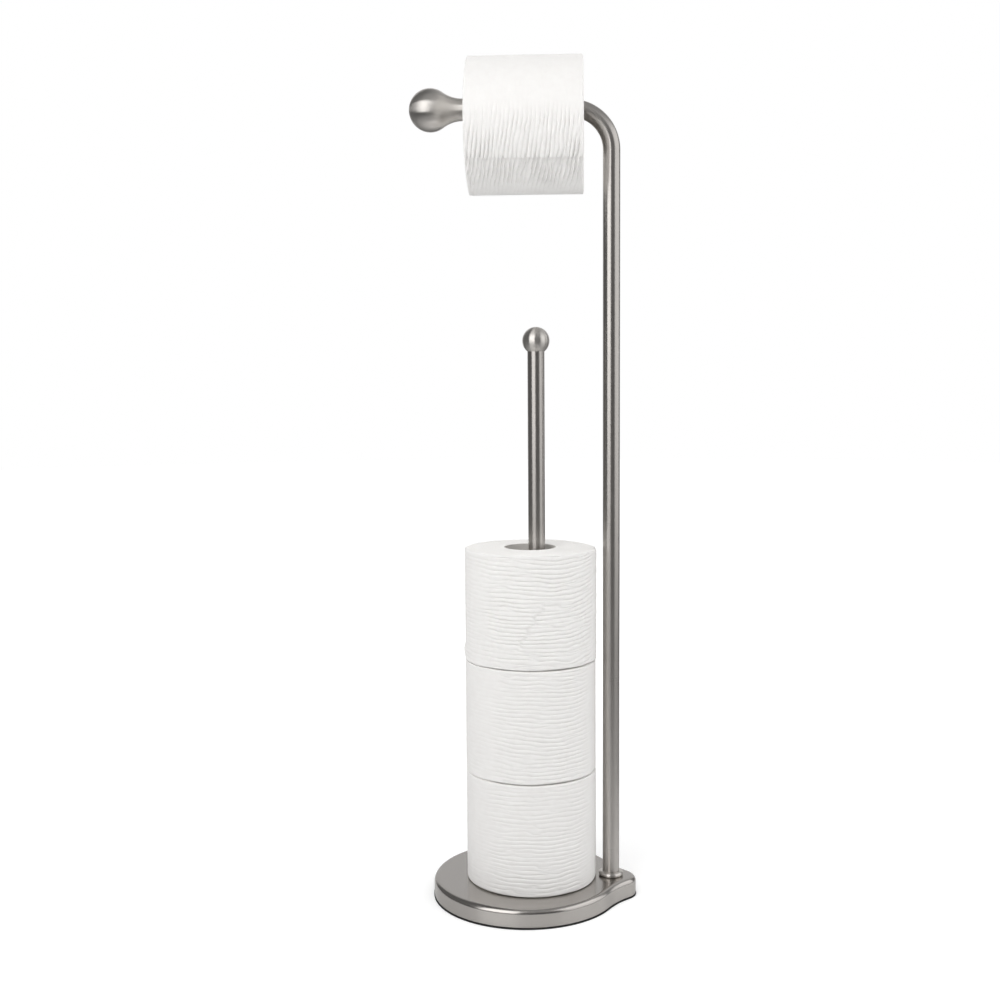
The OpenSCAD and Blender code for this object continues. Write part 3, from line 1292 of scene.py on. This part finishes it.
@dataclass(frozen=True)
class SoftBox:
    """Large soft lamp, whose radiance is 1 where it looks as bright as white paper."""

    name: str
    centre: Triple
    target: Triple
    width: float
    height: float
    radiance: float

    def build(self, seen_in_metal: bool) -> None:
        """Hang the lamp and aim it.

        Args:
            seen_in_metal: False leaves it out of reflections.
        """
        data = bpy.data.lights.new(self.name, "AREA")
        data.shape = "RECTANGLE"
        data.size, data.size_y = self.width, self.height
        data.energy = self.radiance * math.pi * self.width * self.height
        lamp = bpy.data.objects.new(self.name, data)
        lamp.location = self.centre
        aim = Vector(self.target) - Vector(self.centre)
        lamp.rotation_mode = "QUATERNION"
        lamp.rotation_quaternion = aim.to_track_quat("-Z", "Y")
        lamp.visible_camera = False
        lamp.visible_glossy = seen_in_metal
        bpy.context.scene.collection.objects.link(lamp)
        log.info("lamp %s", self.name)


def fading_glow(tree: Tree, near: float, far: float, radii: tuple[float, float]) -> bpy.types.Node:
    """Add a white glow that changes with the distance from the middle of the object.

    Args:
        tree: Node tree that takes the nodes.
        near: How bright it looks at the nearer radius, 1 being white.
        far: How bright it looks at the farther one.
        radii: The two distances, in metres.

    Returns:
        The glow.
    """
    place = add_node(tree, "TexCoord").outputs["Object"]
    away = add_node(tree, "VectorMath", {0: place}, operation="LENGTH").outputs["Value"]
    ends = (radii[0], max(radii[1], radii[0] + 0.01))
    level = add_node(tree, "MapRange", mapped(away, *ends, near, far))
    return add_node(tree, "Emission", {"Strength": level})


@dataclass(frozen=True)
class StudioPanel:
    """Curved or flat panel of the studio that only shows in the metal.

    Angles are in degrees, 0 towards -Y and growing towards +X; radii and heights in metres.
    """

    name: str
    turns: tuple[float, float]
    radii: tuple[float, float]
    heights: tuple[float, float]
    level: float
    far_level: Optional[float] = None

    def build(self) -> None:
        """Bend the panel round the object."""
        bm = bmesh.new()
        start = math.radians(self.turns[0])
        way = Vector((math.sin(start), -math.cos(start), 0))
        pen = Pen(bm, way * self.radii[0] + Z_AXIS * self.heights[0])
        pen.line(way * self.radii[1] + Z_AXIS * self.heights[1])
        bmesh.ops.spin(
            bm, geom=bm.verts[:] + bm.edges[:], cent=(0, 0, 0), axis=Z_AXIS,
            angle=math.radians(self.turns[1] - self.turns[0]), steps=24, use_merge=False,
        )
        made, tree = new_material(self.name)
        far = self.level if self.far_level is None else self.far_level
        glow = fading_glow(tree, self.level, far, self.radii)
        add_node(tree, "OutputMaterial", {"Surface": glow})
        add_stage(self.name, bm, made, only_in_metal=True)


def add_stage(name: str, bm: Mesh, material: Material, only_in_metal: bool) -> None:
    """Add a piece of the studio.

    Args:
        name: Its name.
        bm: Its mesh in metres, which is freed.
        material: Its finish.
        only_in_metal: True if only reflections show it.
    """
    stage = put_in_scene(name, bm, material)
    for rays in ("camera", "diffuse", "shadow", "transmission"):
        setattr(stage, f"visible_{rays}", not only_in_metal)


@dataclass
class Studio:
    """Pale floor, soft lamps, dim walls that only the metal shows, and the camera.

    The lamps show in the metal too, and the fills don't.
    """

    floor_radius: float = 6.0
    near_glow: float = 0.33
    far_glow: float = 0.9
    glow_radii: tuple[float, float] = (0.12, 1.0)
    camera_place: Triple = (0.04265, -1.16351, 0.47189)
    camera_turn: float = 3.154
    camera_dip: float = 5.523
    camera_roll: float = -0.408
    lens: float = 47.479
    lamps: tuple[SoftBox, ...] = (
        SoftBox("front_left_softbox", (-0.7, -1.08, 0.97), (0.0, 0.0, 0.6), 1.22, 1.42, 2.0),
        SoftBox("right_softbox", (1.22, -0.2, 0.78), (0.0, 0.0, 0.5), 1.75, 1.4, 1.02),
    )
    fills: tuple[SoftBox, ...] = (
        SoftBox("top_fill", (0.0, -1.05, 2.2), (0.0, 0.0, 0.5), 2.4, 1.8, 1.3),
        SoftBox("left_fill", (-1.5, -0.1, 0.62), (0.0, 0.0, 0.4), 1.2, 1.0, 0.75),
        SoftBox("right_fill", (1.5, -0.1, 0.5), (0.0, 0.0, 0.3), 1.2, 1.0, 0.7),
        SoftBox("arm_fill", (-0.05, -0.8, 0.68), (0.0, 0.0, 0.68), 0.7, 0.5, 0.45),
        SoftBox("back_left_fill", (-1.0, 0.9, 1.5), (0.0, 0.0, 0.4), 1.2, 1.2, 1.5),
        SoftBox("back_right_fill", (1.0, 0.9, 1.5), (0.0, 0.0, 0.4), 1.2, 1.2, 1.6),
    )
    panels: tuple[StudioPanel, ...] = (
        StudioPanel("left_wall", (-140, 0), (2.4, 2.4), (-0.05, 3.0), 0.16),
        StudioPanel("right_wall", (0, 140), (2.4, 2.4), (-0.05, 1.4), 0.16),
        StudioPanel("right_wall_top", (0, 140), (2.4, 2.4), (1.4, 3.0), 0.38),
        StudioPanel("back_wall", (140, 220), (2.4, 2.4), (-0.05, 3.0), 0.65),
        StudioPanel("front_skirt", (-75, 75), (2.3, 2.3), (-0.05, 0.8), 0.1),
        StudioPanel("left_ceiling", (-180, -60), (0.0, 2.5), (3.0, 3.0), 0.15),
        StudioPanel("right_ceiling", (-60, 180), (0.0, 2.5), (3.0, 3.0), 0.38),
        StudioPanel("near_floor", (0, 360), (0.33, 1.2), (0.002, 0.002), 0.45, 0.2),
        StudioPanel("far_floor", (0, 360), (1.2, 2.5), (0.002, 0.002), 0.13, 0.07),
    )
    ambient: float = 0.185

    def build_floor(self) -> None:
        """Lay the pale floor: white to the camera where nothing shades it."""
        bm = bmesh.new()
        bmesh.ops.create_circle(bm, cap_ends=True, radius=self.floor_radius, segments=64)
        made, tree = new_material("pale_floor")
        path = add_node(tree, "LightPath")
        matt = add_node(tree, "BsdfDiffuse", {"Color": FLOOR_GREY})
        glow = fading_glow(tree, self.near_glow, self.far_glow, self.glow_radii)
        shown = add_node(tree, "AddShader", {0: matt, 1: glow})
        laid = add_node(tree, "BsdfPrincipled", {"Base Color": FLOOR_GREY, "Roughness": 0.35})
        pick = add_node(tree, "MixShader", {0: path.outputs["Is Camera Ray"], 1: laid, 2: shown})
        add_node(tree, "OutputMaterial", {"Surface": pick})
        add_stage("floor", bm, made, only_in_metal=False)

    def build_world(self) -> None:
        """Make the world white behind the object, and dim where it only lights it."""
        world = bpy.data.worlds.new("studio")
        bpy.context.scene.world = world
        world.use_nodes = True
        tree = world.node_tree
        tree.nodes.clear()
        path = add_node(tree, "LightPath")
        seen = path.outputs["Is Camera Ray"]
        for ray in ("Is Glossy Ray", "Is Transmission Ray"):
            seen = add_node(tree, "Math", {0: seen, 1: path.outputs[ray]}, operation="MAXIMUM")
        white = add_node(tree, "Background", {"Color": WHITE, "Strength": 1.0})
        soft = add_node(tree, "Background", {"Color": WHITE, "Strength": self.ambient})
        mix = add_node(tree, "MixShader", {0: seen, 1: soft, 2: white})
        add_node(tree, "OutputWorld", {"Surface": mix})

    def build_camera(self) -> None:
        """Set up the camera in front of the object, a little above its middle."""
        data = bpy.data.cameras.new("camera")
        data.sensor_width = 36.0
        data.lens = self.lens
        data.clip_start, data.clip_end = 0.05, 50.0
        camera = bpy.data.objects.new("camera", data)
        turn = Matrix.Rotation(math.radians(self.camera_turn), 4, "Z")
        dip = Matrix.Rotation(math.radians(90 - self.camera_dip), 4, "X")
        roll = Matrix.Rotation(math.radians(self.camera_roll), 4, "Z")
        camera.matrix_world = Matrix.Translation(self.camera_place) @ turn @ dip @ roll
        bpy.context.scene.collection.objects.link(camera)
        bpy.context.scene.camera = camera

    def build(self) -> None:
        """Build the whole studio."""
        self.build_floor()
        self.build_world()
        self.build_camera()
        for lamp in self.lamps:
            lamp.build(seen_in_metal=True)
        for fill in self.fills:
            fill.build(seen_in_metal=False)
        for panel in self.panels:
            panel.build()
        bpy.context.scene.view_settings.view_transform = "Standard"


def main() -> None:
    """Build the stand, its rolls and the studio."""
    logging.basicConfig(level=logging.INFO, format="%(name)s: %(message)s")
    TeardropBase().build()
    Upright().build()
    ReservePost().build()
    rolls = [
        PaperRoll(
            RollPlace.HANGING,
            Ripples(
                seed=3.1, pitch=3.6, depth=1.2, notch=0.5, sweep=10.0, sweep_from=-55.0,
                fields=((60, 48, 0.9), (-90, 18, 0.9), (-52, 12, -0.75)), ridged=(-100.0, -35.5),
            ),
            Tail(turn=-35.5),
        ),
        PaperRoll(
            RollPlace.BOTTOM,
            Ripples(seed=11.7, depth=0.45, hook=4.0, fields=((-72, 30, 0.85), (82, 18, 0.8))),
            Tail(turn=150.0, sense=-1, uneven=0.5),
        ),
        PaperRoll(
            RollPlace.MIDDLE,
            Ripples(
                seed=23.4, depth=0.65, sweep=-2.5, hook=8.0, fields=((-72, 34, 0.85), (82, 18, 0.8))
            ),
            Tail(turn=-120.0, uneven=0.5),
        ),
        PaperRoll(
            RollPlace.TOP,
            Ripples(
                seed=37.9, depth=1.0, sweep=-2.5, hook=10.0, fields=((-72, 26, 0.7), (92, 16, 0.8))
            ),
            Tail(turn=82.0, sense=-1, lift=1.2, uneven=0.3),
            crinkle=Crinkle(turns=(-7.0, 11.0), alongs=(22.0, 53.0), dent=0.85), curl=(-88.0, 8.0),
        ),
    ]
    for roll in rolls:
        roll.build()
    Studio().build()
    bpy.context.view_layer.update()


if __name__ == "__main__":
    main()
